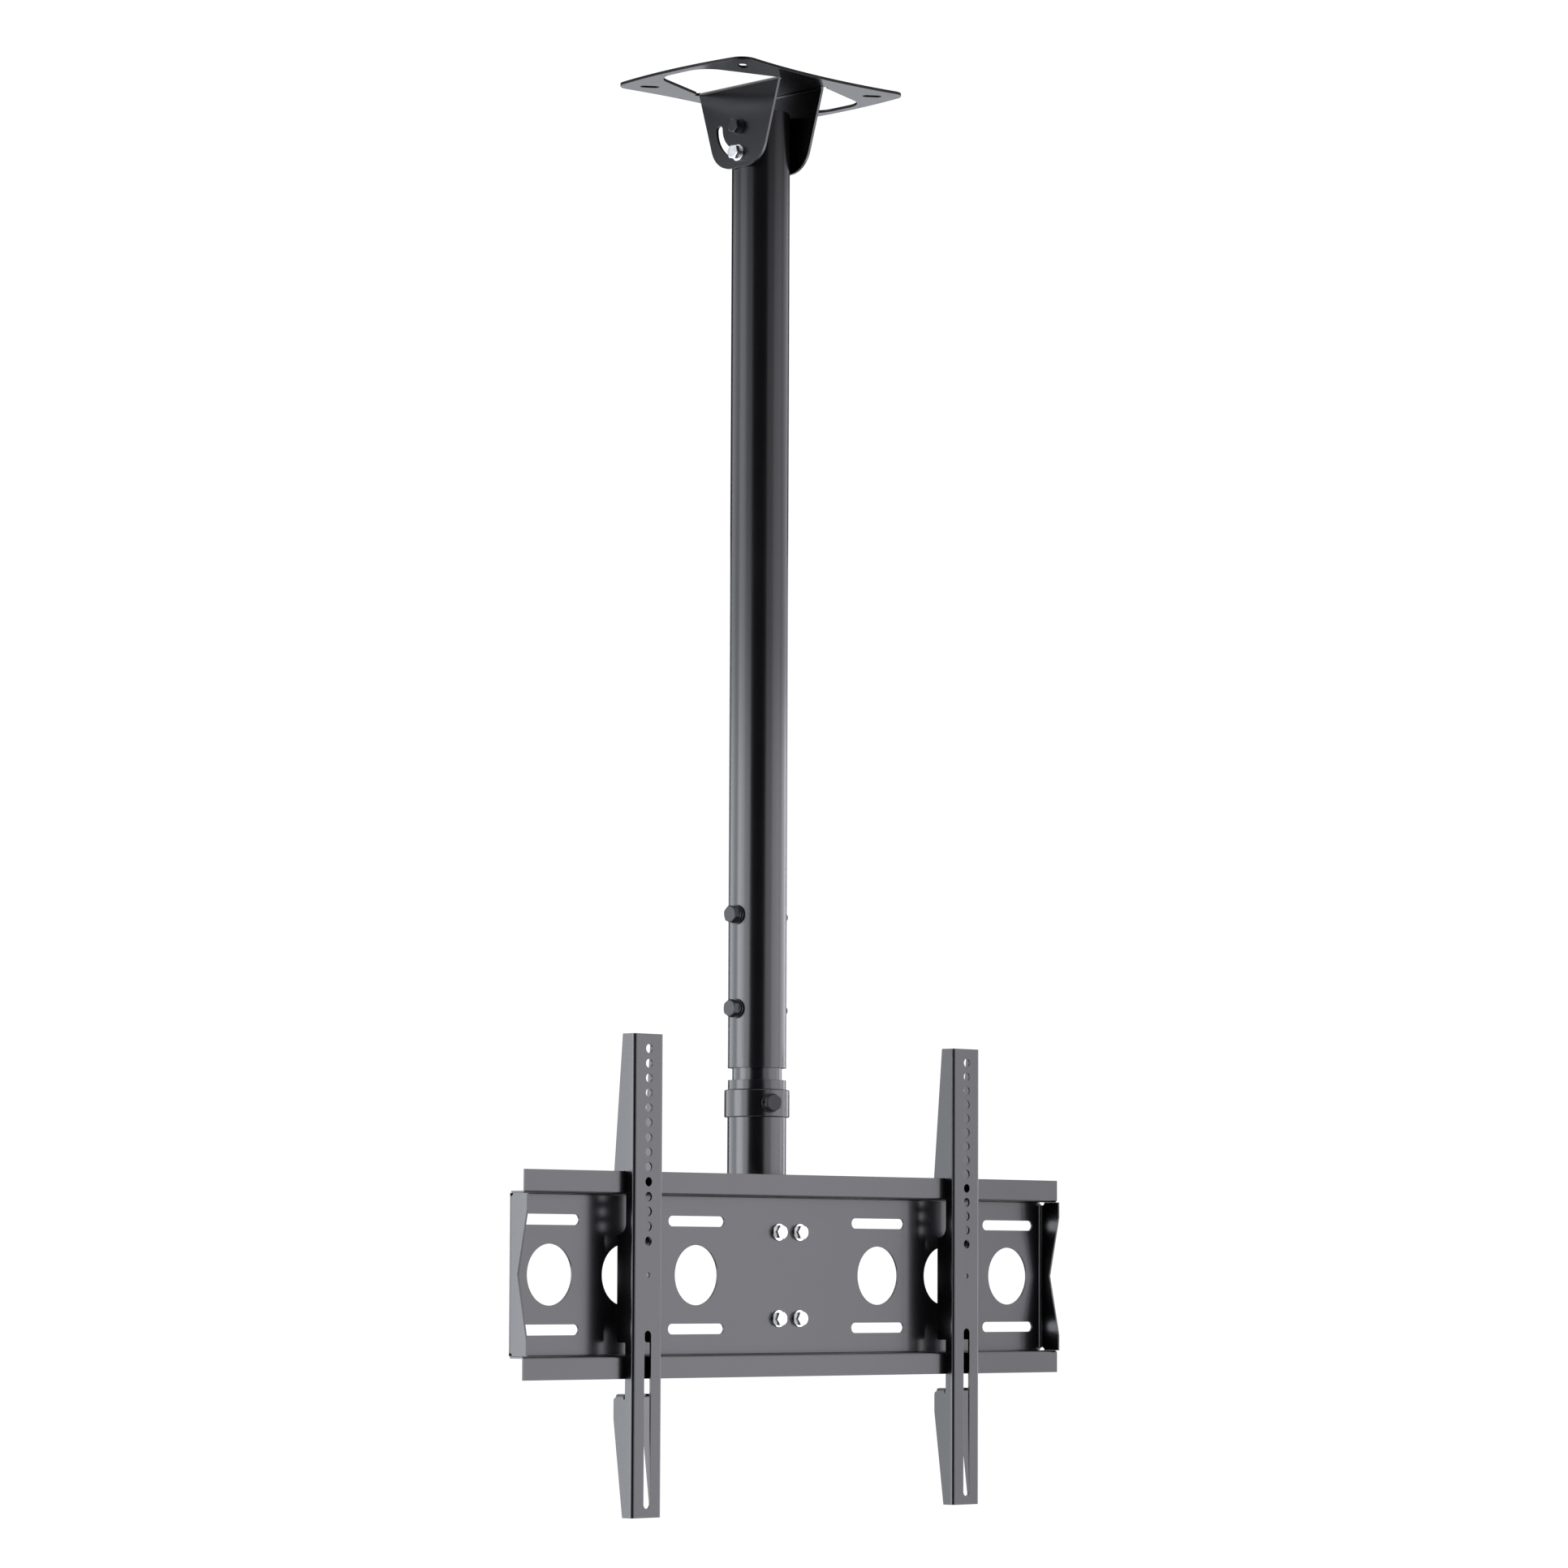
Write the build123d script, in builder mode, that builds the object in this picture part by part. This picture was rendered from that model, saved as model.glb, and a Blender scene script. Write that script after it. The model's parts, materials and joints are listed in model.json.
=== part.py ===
from build123d import *
import os
from math import atan2, cos, degrees, radians, sin, sqrt

# Telescopic ceiling mount for a flat television, hanging from its folded ceiling plate.
# The origin is the middle of the ceiling plate's top face, +Z is up and the screen faces -Y.
# All sizes are in millimetres.
os.makedirs("parts", exist_ok=True)

# Clearances
run_gap = 0.05
slide_gap = 0.3
face_gap = 0.3
slot_gap = 0.4

# Pipes
pipe_r = 30.0
pipe_wall = 3.0
tube_r = 25.4
tube_wall = 2.5
outer_pipe_len = 988.0
tube_hidden_len = 836.0
tube_shown_len = 12.5
stroke = 500.0
guide_len = 30.0

# Metric hex fasteners: shank, across flats, head, nut, washer and spring washer
m8 = dict(d=8.0, af=13.0, head=5.3, nut=6.5, washer_r=8.5, washer_t=1.6, spring_r=7.2, spring_t=2.0)
m10 = dict(d=10.0, af=16.0, head=6.4, nut=8.0, washer_r=10.0, washer_t=2.0, spring_r=8.8, spring_t=2.4)
m12 = dict(d=12.0, af=18.0, head=7.5)
spring_slit = 1.5
thread_over = 2.0

# Folded ceiling plate with its two ears
bracket_t = 3.0
bracket_bend = 2.0
ceiling_bow_x = 127.0
ceiling_waist_y = 85.0
ceiling_corner_x = 119.0
ceiling_corner_y = 95.5
ceiling_corner_r = 15.0
ceiling_slot_x = 95.0
ceiling_slot_y = 68.0
ceiling_slot_len = 20.0
ceiling_slot_w = 9.0
ear_taper = 0.3
ear_cut_gap = 1.0
ear_relief_r = 3.0
ceiling_ear_half = 59.0
ceiling_ear_len = 87.5
ceiling_ear_round = 29.0

# Tilt joints: a pivot bolt near the pipe's end and a lock bolt in an arc slot about it
pivot_drop = 45.0
pipe_end_over = 17.0
lock_r = 27.5
ceiling_tilt_max = 90.0
head_tilt_down = 15.0
head_tilt_up = 5.0
sleeve_r = 6.5

# Height bolts through the bottom of the outer pipe
height_bolt_up = 60.0
height_bolt_pitch = 96.0
height_bolt_overs = (6.0, 10.0)
height_slot_end = 1.0

# Swivel
swivel_ring_r = 29.75
swivel_ring_h = 9.5
swivel_plug_len = 40.0
swivel_journal_r = 23.0
swivel_groove_w = 12.0
swivel_groove_depth = 1.0
collar_r = 33.3
collar_h = 28.0
collar_edge = 0.8
collar_spigot_len = 12.0
swivel_bolt_azimuth = 249.0
retainer_r = 26.0
retainer_t = 4.0
retainer_bolt_len = 30.0
lower_pipe_len = 177.7

# Television plate, one folded sheet
plate_t = 2.0
plate_bend = 1.0
end_bend = 3.5
plate_w = 768.5
plate_h = 202.5
plate_lip_h = 22.85
plate_lip_out = 22.2
plate_hole_r = 30.0
plate_hole_pitch = 99.6
plate_hole_first = 131.0
plate_slot_len = 78.0
plate_slot_w = 10.5
plate_slot_up = 53.4
end_flange_out = 25.5
end_flange_waist = 12.5
end_flange_gap = 0.1
end_flange_land = 16.0
end_relief_r = 3.2
end_relief_out = 2.5
lip_relief_out = 2.8
plate_bolt_x = 15.0
plate_bolt_z = 43.65
plate_bolt_hole_r = 4.5

# Tilt yoke between the plate and the lower pipe
yoke_front_gap = 11.5
yoke_half_h = 57.0
yoke_back = 22.0
yoke_round = 26.0

# Hook-on rails
rail_t = 2.0
rail_bend = 1.5
rail_w = 40.0
rail_len = 472.0
rail_place = 230.0
rail_nose = 11.0
rail_top_depth = 17.0
rail_depth = 28.0
rail_mid_depth = 23.0
rail_low_depth = 27.0
rail_foot_depth = 14.0
hook_gap = 0.3
hook_tooth = 13.0
hook_tooth_gap = 0.6
notch_top = 39.5
notch_round = 11.0
low_notch_top = -66.0
low_notch_len = 50.0
low_straight = 24.0
tab_reach = 10.0
tab_relief_w = 2.0
tab_relief_depth = 1.7
rail_corner_r = 3.0
rail_hole_r = 4.5
rail_hole_pitch = 14.5
rail_hole_count = 14
rail_pilot_r = 2.5
rail_slot_top = 54.3
rail_slot_foot = 8.7

# Levels worked out down the mount
pivot_z = -pivot_drop
ceiling_lock_z = pivot_z - lock_r
pipe_top = pivot_z + pipe_end_over
pipe_bottom = pipe_top - outer_pipe_len
height_bolt_zs = [pipe_bottom + height_bolt_up + i * height_bolt_pitch for i in range(2)]
ring_top = pipe_bottom - tube_shown_len
ring_bottom = ring_top - swivel_ring_h
tube_top = pipe_bottom + tube_hidden_len
collar_top = ring_bottom - face_gap
collar_bottom = collar_top - collar_h
spigot_bottom = collar_bottom - collar_spigot_len
journal_bottom = spigot_bottom - face_gap
head_z = collar_bottom - lower_pipe_len + pipe_end_over
head_lock_z = head_z + lock_r
swivel_bolt_z = (collar_top + collar_bottom) / 2

# Planes across the mount
bore_r = pipe_r - pipe_wall
tube_bore_r = tube_r - tube_wall
ear_in = pipe_r + slide_gap
ear_mid = ear_in + bracket_t / 2
ear_out = ear_in + bracket_t
yoke_web_back = -(pipe_r + yoke_front_gap)
plate_back = yoke_web_back - bracket_t
plate_front = plate_back - plate_t
lip_front = plate_front - plate_lip_out
lip_back = lip_front + plate_t
rail_front = lip_front - hook_gap - rail_nose


def save(piece, name):
    """Label a finished piece and write it as a file of its own."""
    piece.part.label = name
    export_step(piece.part, f"parts/{name}.step")


def seat(origin, outward, across=(0, 1, 0)):
    """The face that a fastener bears on, looking out of the work."""
    return Plane(origin=origin, x_dir=across, z_dir=outward)


def hex_bolts(seats, size, shank):
    """Hex bolts with their heads on the seats and their shanks running into the work."""
    with BuildPart() as bolts:
        with BuildSketch(*seats):
            RegularPolygon(radius=size["af"] / 2, side_count=6, major_radius=False)
        extrude(amount=size["head"])
        with BuildSketch(*seats):
            Circle(size["d"] / 2)
        extrude(amount=-shank)
    return bolts


def hex_nuts(seats, size):
    """Hex nuts standing on the seats."""
    with BuildPart() as nuts:
        with BuildSketch(*seats):
            RegularPolygon(radius=size["af"] / 2, side_count=6, major_radius=False)
            Circle(size["d"] / 2 + run_gap, mode=Mode.SUBTRACT)
        extrude(amount=size["nut"])
    return nuts


def flat_washers(seats, size):
    """Flat washers lying on the seats."""
    with BuildPart() as washers:
        with BuildSketch(*seats):
            Circle(size["washer_r"])
            Circle(size["d"] / 2 + run_gap, mode=Mode.SUBTRACT)
        extrude(amount=size["washer_t"])
    return washers


def spring_washers(seats, size):
    """Split spring washers lying on the seats."""
    with BuildPart() as washers:
        with BuildSketch(*seats):
            Circle(size["spring_r"])
            Circle(size["d"] / 2 + run_gap, mode=Mode.SUBTRACT)
            with Locations((size["spring_r"], 0)):
                Rectangle(2 * size["spring_r"], spring_slit, mode=Mode.SUBTRACT)
        extrude(amount=size["spring_t"])
    return washers


def cross_bolt_set(name, level):
    """Bolt, washers and nut through both ears and the pipe, with the head on the -X side."""
    left = seat((-ear_out, 0, level), (-1, 0, 0))
    right = seat((ear_out, 0, level), (1, 0, 0))
    stack = m8["washer_t"] + m8["spring_t"]
    shank = stack + 2 * ear_out + m8["washer_t"] + m8["nut"] + thread_over
    save(flat_washers([left, right], m8), f"{name}_washers")
    save(spring_washers([left.offset(m8["washer_t"])], m8), f"{name}_spring_washer")
    save(hex_bolts([left.offset(stack)], m8, shank), f"{name}_bolt")
    save(hex_nuts([right.offset(m8["washer_t"])], m8), f"{name}_nut")


def sleeves(levels):
    """Spacer tubes that stop the cross bolts from crushing the pipe."""
    reach = sqrt(bore_r**2 - sleeve_r**2) - run_gap
    with BuildPart() as tubes:
        with BuildSketch(Plane.YZ):
            with Locations(*[(0, level) for level in levels]):
                Circle(sleeve_r)
                Circle(m8["d"] / 2 + run_gap, mode=Mode.SUBTRACT)
        extrude(amount=reach, both=True)
    return tubes


# Ceiling plate: one sheet whose two ears are cut out of it and folded down
ear_tip_half = ceiling_ear_half - ear_taper * ceiling_ear_len
ear_hole_end = ear_out + ceiling_ear_len - bracket_t
with BuildPart() as ceiling_plate:
    with BuildSketch(Plane.XY.offset(-bracket_t)):
        with BuildLine():
            for side in (1, -1):
                bow_start = (side * ceiling_corner_x, -side * ceiling_corner_y)
                corner = (side * ceiling_corner_x, side * ceiling_corner_y)
                waist_end = (-side * ceiling_corner_x, side * ceiling_corner_y)
                ThreePointArc(bow_start, (side * ceiling_bow_x, 0), corner)
                ThreePointArc(corner, (0, side * ceiling_waist_y), waist_end)
        outline = make_face()
        fillet(outline.vertices(), ceiling_corner_r)
        for slot_x in (-ceiling_slot_x, ceiling_slot_x):
            for slot_y in (-ceiling_slot_y, ceiling_slot_y):
                slant = degrees(atan2(slot_y, slot_x))
                with Locations((slot_x, slot_y)):
                    SlotOverall(ceiling_slot_len, ceiling_slot_w, rotation=slant, mode=Mode.SUBTRACT)
    extrude(amount=bracket_t)
    for side in (1, -1):
        with BuildSketch(Plane.XY.offset(-bracket_t)) as ear_hole:
            with BuildLine():
                Polyline(
                    (side * ear_out, -ceiling_ear_half - ear_cut_gap),
                    (side * ear_hole_end, -ear_tip_half - ear_cut_gap),
                    (side * ear_hole_end, ear_tip_half + ear_cut_gap),
                    (side * ear_out, ceiling_ear_half + ear_cut_gap),
                    close=True,
                )
            make_face()
            tips = ear_hole.vertices().sort_by(Axis.X)
            fillet(tips[-2:] if side > 0 else tips[:2], ceiling_ear_round)
            with Locations((side * (ear_out - bracket_t / 2 - bracket_bend / 2), 0)):
                Rectangle(bracket_t + bracket_bend, 2 * (ceiling_ear_half + ear_cut_gap))
            with Locations(*[(side * ear_out, end * (ceiling_ear_half + ear_cut_gap)) for end in (1, -1)]):
                Circle(ear_relief_r)
        extrude(amount=bracket_t, mode=Mode.SUBTRACT)
    ceiling_sheet = ceiling_plate.part

ceiling_ears = []
for side in (1, -1):
    with BuildPart() as ear:
        with BuildSketch(Plane.XZ):
            with BuildLine() as fold:
                FilletPolyline(
                    (side * (ear_in - 2 * bracket_bend), -bracket_t / 2),
                    (side * ear_mid, -bracket_t / 2),
                    (side * ear_mid, -ceiling_ear_len),
                    radius=bracket_bend + bracket_t / 2,
                )
            trace(line_width=bracket_t)
        extrude(amount=ceiling_ear_half, both=True)
        with BuildSketch(Plane.YZ) as ear_side:
            with BuildLine():
                Polyline(
                    (-ceiling_ear_half, 0),
                    (ceiling_ear_half, 0),
                    (ear_tip_half, -ceiling_ear_len),
                    (-ear_tip_half, -ceiling_ear_len),
                    close=True,
                )
            make_face()
            fillet(ear_side.vertices().sort_by(Axis.Y)[:2], ceiling_ear_round)
            with Locations((0, pivot_z)):
                Circle(m8["d"] / 2 + run_gap, mode=Mode.SUBTRACT)
            with BuildLine(mode=Mode.PRIVATE) as lock_path:
                CenterArc((0, pivot_z), lock_r, -90, ceiling_tilt_max)
            SlotArc(lock_path.edge(), m8["d"] + 2 * slot_gap, mode=Mode.SUBTRACT)
        extrude(amount=2 * ear_out, both=True, mode=Mode.INTERSECT)
    ceiling_ears.append(ear.part)

with BuildPart() as ceiling_plate:
    add(ceiling_sheet)
    for ear_part in ceiling_ears:
        add(ear_part)
save(ceiling_plate, "ceiling_plate")
cross_bolt_set("ceiling_pivot", pivot_z)

# Outer pipe with its cross bolt holes and the guide bush in its mouth
with BuildPart() as outer_pipe:
    with BuildSketch(Plane.XY.offset(pipe_bottom)):
        Circle(pipe_r)
        Circle(bore_r, mode=Mode.SUBTRACT)
    extrude(amount=outer_pipe_len)
    with BuildSketch(Plane.YZ):
        with Locations((0, pivot_z), (0, ceiling_lock_z)):
            Circle(m8["d"] / 2 + run_gap)
        with Locations(*[(0, level) for level in height_bolt_zs]):
            Circle(m10["d"] / 2 + run_gap)
    extrude(amount=2 * pipe_r, both=True, mode=Mode.SUBTRACT)
save(outer_pipe, "outer_pipe")
save(sleeves([pivot_z, ceiling_lock_z]), "ceiling_bolt_sleeves")
cross_bolt_set("ceiling_lock", ceiling_lock_z)

with BuildPart() as lower_guide_bush:
    with BuildSketch(Plane.XY.offset(pipe_bottom)):
        Circle(bore_r - run_gap)
        Circle(tube_r + run_gap, mode=Mode.SUBTRACT)
    extrude(amount=guide_len)
save(lower_guide_bush, "lower_guide_bush")

# Height bolts, screwed into the far wall of the outer pipe
height_seats = [seat((-pipe_r, 0, level), (-1, 0, 0)) for level in height_bolt_zs]
height_stack = m10["washer_t"] + m10["spring_t"]
save(flat_washers(height_seats, m10), "height_washers")
save(spring_washers([s.offset(m10["washer_t"]) for s in height_seats], m10), "height_spring_washers")
with BuildPart() as height_bolts:
    for height_seat, over in zip(height_seats, height_bolt_overs):
        add(hex_bolts([height_seat.offset(height_stack)], m10, height_stack + 2 * pipe_r + over).part)
save(height_bolts, "height_bolts")

# Inner tube, slotted along both sides so that the height bolts can pass
slot_low = height_bolt_zs[0] - height_slot_end
slot_high = height_bolt_zs[1] + stroke + height_slot_end
with BuildPart() as inner_tube:
    with BuildSketch(Plane.XY.offset(ring_top)):
        Circle(tube_r)
        Circle(tube_bore_r, mode=Mode.SUBTRACT)
    extrude(amount=tube_top - ring_top)
    with BuildSketch(Plane.YZ):
        with Locations((0, (slot_low + slot_high) / 2)):
            SlotCenterToCenter(slot_high - slot_low, m10["d"] + 2 * slide_gap, rotation=90)
    extrude(amount=2 * tube_r, both=True, mode=Mode.SUBTRACT)
save(inner_tube, "inner_tube")

with BuildPart() as upper_guide_bush:
    with BuildSketch(Plane.XY.offset(tube_top)):
        Circle(bore_r - run_gap)
        Circle(tube_r + run_gap, mode=Mode.SUBTRACT)
    extrude(amount=-guide_len)
save(upper_guide_bush, "upper_guide_bush")

# Swivel post: plug in the inner tube, ring that shows, and the journal that the collar turns on
plug_r = tube_bore_r - run_gap
groove_top = swivel_bolt_z + swivel_groove_w / 2
groove_low = swivel_bolt_z - swivel_groove_w / 2
groove_r = swivel_journal_r - swivel_groove_depth
with BuildPart() as swivel_post:
    with BuildSketch(Plane.XZ):
        with BuildLine():
            Polyline(
                (0, ring_top + swivel_plug_len),
                (plug_r, ring_top + swivel_plug_len),
                (plug_r, ring_top),
                (swivel_ring_r, ring_top),
                (swivel_ring_r, ring_bottom),
                (swivel_journal_r, ring_bottom),
                (swivel_journal_r, groove_top),
                (groove_r, groove_top),
                (groove_r, groove_low),
                (swivel_journal_r, groove_low),
                (swivel_journal_r, journal_bottom),
                (0, journal_bottom),
                close=True,
            )
        make_face()
    revolve(axis=Axis.Z)
    with BuildSketch(Plane.XY.offset(journal_bottom)):
        Circle(m12["d"] / 2 + run_gap)
    extrude(amount=retainer_bolt_len, mode=Mode.SUBTRACT)
save(swivel_post, "swivel_post")

under_journal = seat((0, 0, journal_bottom), (0, 0, -1), (1, 0, 0))
with BuildPart() as swivel_retainer_washer:
    with BuildSketch(under_journal):
        Circle(retainer_r)
        Circle(m12["d"] / 2 + run_gap, mode=Mode.SUBTRACT)
    extrude(amount=retainer_t)
save(swivel_retainer_washer, "swivel_retainer_washer")
save(hex_bolts([under_journal.offset(retainer_t)], m12, retainer_bolt_len), "swivel_retainer_bolt")

# Swivel collar, its spigot fixed in the lower pipe
swivel_out = Vector(cos(radians(swivel_bolt_azimuth)), sin(radians(swivel_bolt_azimuth)), 0)
with BuildPart() as swivel_collar:
    with BuildSketch(Plane.XZ) as collar_section:
        with BuildLine():
            Polyline(
                (swivel_journal_r + run_gap, collar_top),
                (collar_r, collar_top),
                (collar_r, collar_bottom),
                (bore_r - run_gap, collar_bottom),
                (bore_r - run_gap, spigot_bottom),
                (swivel_journal_r + run_gap, spigot_bottom),
                close=True,
            )
        make_face()
        chamfer(collar_section.vertices().sort_by(Axis.X)[-2:], collar_edge)
    revolve(axis=Axis.Z)
    with BuildSketch(seat((0, 0, swivel_bolt_z), swivel_out, (0, 0, 1))):
        Circle(m10["d"] / 2 + run_gap)
    extrude(amount=2 * collar_r, mode=Mode.SUBTRACT)
save(swivel_collar, "swivel_collar")

with BuildPart() as lower_pipe:
    with BuildSketch(Plane.XY.offset(collar_bottom)):
        Circle(pipe_r)
        Circle(bore_r, mode=Mode.SUBTRACT)
    extrude(amount=-lower_pipe_len)
    with BuildSketch(Plane.YZ):
        with Locations((0, head_z), (0, head_lock_z)):
            Circle(m8["d"] / 2 + run_gap)
    extrude(amount=2 * pipe_r, both=True, mode=Mode.SUBTRACT)
save(lower_pipe, "lower_pipe")
save(sleeves([head_z, head_lock_z]), "head_bolt_sleeves")

collar_seat = seat(swivel_out * collar_r + Vector(0, 0, swivel_bolt_z), swivel_out, (0, 0, 1))
swivel_bolt_tip = groove_r + face_gap
save(flat_washers([collar_seat], m10), "swivel_lock_washer")
save(spring_washers([collar_seat.offset(m10["washer_t"])], m10), "swivel_lock_spring_washer")
swivel_bolt_shank = height_stack + collar_r - swivel_bolt_tip
save(hex_bolts([collar_seat.offset(height_stack)], m10, swivel_bolt_shank), "swivel_lock_bolt")
cross_bolt_set("head_lock", head_lock_z)

# Tilt yoke: a channel whose ears hold the lower pipe
yoke_web_mid = yoke_web_back - bracket_t / 2
yoke_tip_half = yoke_half_h - ear_taper * (yoke_back - plate_back)
plate_bolt_levels = (head_z - plate_bolt_z, head_z + plate_bolt_z)
plate_bolt_places = [(x, z) for x in (-plate_bolt_x, plate_bolt_x) for z in plate_bolt_levels]
with BuildPart() as tilt_yoke:
    with BuildSketch(Plane.XY.offset(head_z)):
        with BuildLine():
            FilletPolyline(
                (-ear_mid, yoke_back),
                (-ear_mid, yoke_web_mid),
                (ear_mid, yoke_web_mid),
                (ear_mid, yoke_back),
                radius=bracket_bend + bracket_t / 2,
            )
        trace(line_width=bracket_t)
    extrude(amount=yoke_half_h, both=True)
    with BuildSketch(Plane.YZ) as yoke_side:
        with BuildLine():
            Polyline(
                (plate_back, head_z + yoke_half_h),
                (yoke_back, head_z + yoke_tip_half),
                (yoke_back, head_z - yoke_tip_half),
                (plate_back, head_z - yoke_half_h),
                close=True,
            )
        make_face()
        fillet(yoke_side.vertices().sort_by(Axis.X)[-2:], yoke_round)
    extrude(amount=2 * ear_out, both=True, mode=Mode.INTERSECT)
    with BuildSketch(Plane.YZ):
        with Locations((0, head_z)):
            Circle(m8["d"] / 2 + run_gap)
        with BuildLine(mode=Mode.PRIVATE) as head_lock_path:
            CenterArc((0, head_z), lock_r, 90 - head_tilt_down, head_tilt_down + head_tilt_up)
        SlotArc(head_lock_path.edge(), m8["d"] + 2 * slot_gap)
    extrude(amount=2 * ear_out, both=True, mode=Mode.SUBTRACT)
    with BuildSketch(Plane.XZ.offset(-yoke_web_back)):
        with Locations(*plate_bolt_places):
            Circle(plate_bolt_hole_r)
    extrude(amount=bracket_t, mode=Mode.SUBTRACT)
save(tilt_yoke, "tilt_yoke")
cross_bolt_set("head_pivot", head_z)

# Television plate: a long web with hooked lips above and below and a flange at each end
plate_half_w = plate_w / 2
plate_half_h = plate_h / 2
web_half_h = plate_half_h - plate_lip_h
web_half_w = plate_half_w - plate_t - end_bend
end_half_h = web_half_h - end_flange_gap
web_mid_y = plate_back - plate_t / 2
lip_mid_y = lip_front + plate_t / 2
end_out_y = plate_front - end_flange_out
end_waist_y = plate_front - end_flange_waist
end_bend_y = plate_front - end_bend
lip_end_y = plate_front - lip_relief_out
hole_columns = [side * (plate_hole_first + i * plate_hole_pitch) for side in (-1, 1) for i in range(3)]
slot_columns = [side * (plate_hole_first + i * plate_hole_pitch) for side in (-1, 1) for i in (0, 2)]
slot_places = [(x, head_z + side * plate_slot_up) for x in slot_columns for side in (-1, 1)]

with BuildPart() as end_flanges:
    with BuildSketch(Plane.XY.offset(head_z)):
        for end, bend_start in ((-1, 90), (1, 0)):
            with BuildLine():
                CenterArc((end * web_half_w, end_bend_y), end_bend + plate_t / 2, bend_start, 90)
                Line(
                    (end * (plate_half_w - plate_t / 2), end_bend_y),
                    (end * (plate_half_w - plate_t / 2), end_out_y),
                )
            trace(line_width=plate_t)
    extrude(amount=end_half_h, both=True)
    with BuildSketch(Plane.YZ):
        with BuildLine():
            Polyline(
                (end_out_y, head_z + end_half_h - end_flange_land),
                (end_waist_y, head_z),
                (end_out_y, head_z - end_half_h + end_flange_land),
                close=True,
            )
        make_face()
        with Locations(*[(plate_front - end_relief_out, head_z + side * end_half_h) for side in (-1, 1)]):
            Circle(end_relief_r)
    extrude(amount=plate_half_w, both=True, mode=Mode.SUBTRACT)

with BuildPart() as tv_plate:
    with BuildSketch(Plane.YZ):
        with BuildLine():
            FilletPolyline(
                (lip_mid_y, head_z + plate_half_h),
                (lip_mid_y, head_z + web_half_h + plate_t / 2),
                (web_mid_y, head_z + web_half_h + plate_t / 2),
                (web_mid_y, head_z - web_half_h - plate_t / 2),
                (lip_mid_y, head_z - web_half_h - plate_t / 2),
                (lip_mid_y, head_z - plate_half_h),
                radius=plate_bend + plate_t / 2,
            )
        trace(line_width=plate_t)
    extrude(amount=plate_half_w, both=True)
    with BuildSketch(Plane.XY.offset(head_z)):
        for end in (-1, 1):
            with Locations((end * (web_half_w + plate_half_w) / 2, (lip_end_y + plate_back) / 2)):
                Rectangle(plate_half_w - web_half_w, plate_back - lip_end_y)
    extrude(amount=plate_half_h, both=True, mode=Mode.SUBTRACT)
    add(end_flanges.part)
    with BuildSketch(Plane.XZ.offset(-plate_back)):
        with Locations(*[(x, head_z) for x in hole_columns]):
            Circle(plate_hole_r)
        with Locations(*slot_places):
            SlotOverall(plate_slot_len, plate_slot_w)
        with Locations(*plate_bolt_places):
            Circle(plate_bolt_hole_r)
    extrude(amount=plate_t, mode=Mode.SUBTRACT)
save(tv_plate, "tv_plate")

# Four bolts that hold the plate to the yoke
front_seats = [seat((x, plate_front, z), (0, -1, 0), (1, 0, 0)) for x, z in plate_bolt_places]
back_seats = [seat((x, yoke_web_back, z), (0, 1, 0), (1, 0, 0)) for x, z in plate_bolt_places]
plate_bolt_shank = m8["washer_t"] + plate_t + bracket_t + m8["nut"] + thread_over / 2
save(flat_washers(front_seats, m8), "plate_washers")
save(hex_bolts([s.offset(m8["washer_t"]) for s in front_seats], m8, plate_bolt_shank), "plate_bolts")
save(hex_nuts(back_seats, m8), "plate_nuts")

# Rails: channels whose side flanges hook over the plate's lips
hook_roof = plate_half_h + hook_gap
tooth_tip = plate_half_h - hook_tooth
notch_y = rail_front + rail_nose
tooth_y = lip_back + hook_tooth_gap
rail_half = rail_len / 2
low_notch_bottom = low_notch_top - low_notch_len
low_edge = low_notch_bottom - rail_t - rail_bend
low_back_y = rail_front + rail_low_depth
tab_front_y = notch_y + tab_relief_w
tab_back_y = low_back_y - rail_corner_r
rail_back = rail_front + rail_depth
rail_slot_len = rail_half - rail_slot_foot - rail_slot_top
first_hole = rail_half - rail_hole_pitch
rail_hole_levels = [head_z + first_hole - i * rail_hole_pitch for i in range(rail_hole_count)]
rail_side_points = [
    (rail_front, rail_half),
    (rail_front + rail_top_depth, rail_half),
    (rail_back, hook_roof),
    (rail_back, tooth_tip),
    (tooth_y, tooth_tip),
    (tooth_y, hook_roof),
    (notch_y, hook_roof),
    (notch_y, notch_top),
    (rail_front + rail_mid_depth, notch_top),
    (rail_front + rail_mid_depth, low_notch_top),
    (notch_y, low_notch_top),
    (notch_y, low_edge),
    (low_back_y, low_edge),
    (low_back_y, low_notch_bottom - low_straight),
    (rail_front + rail_foot_depth, -rail_half),
    (rail_front, -rail_half),
]
rail_outer_corners = [
    (rail_back, tooth_tip),
    (tooth_y, tooth_tip),
    (rail_front + rail_mid_depth, low_notch_top),
    (low_back_y, low_edge),
]
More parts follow.
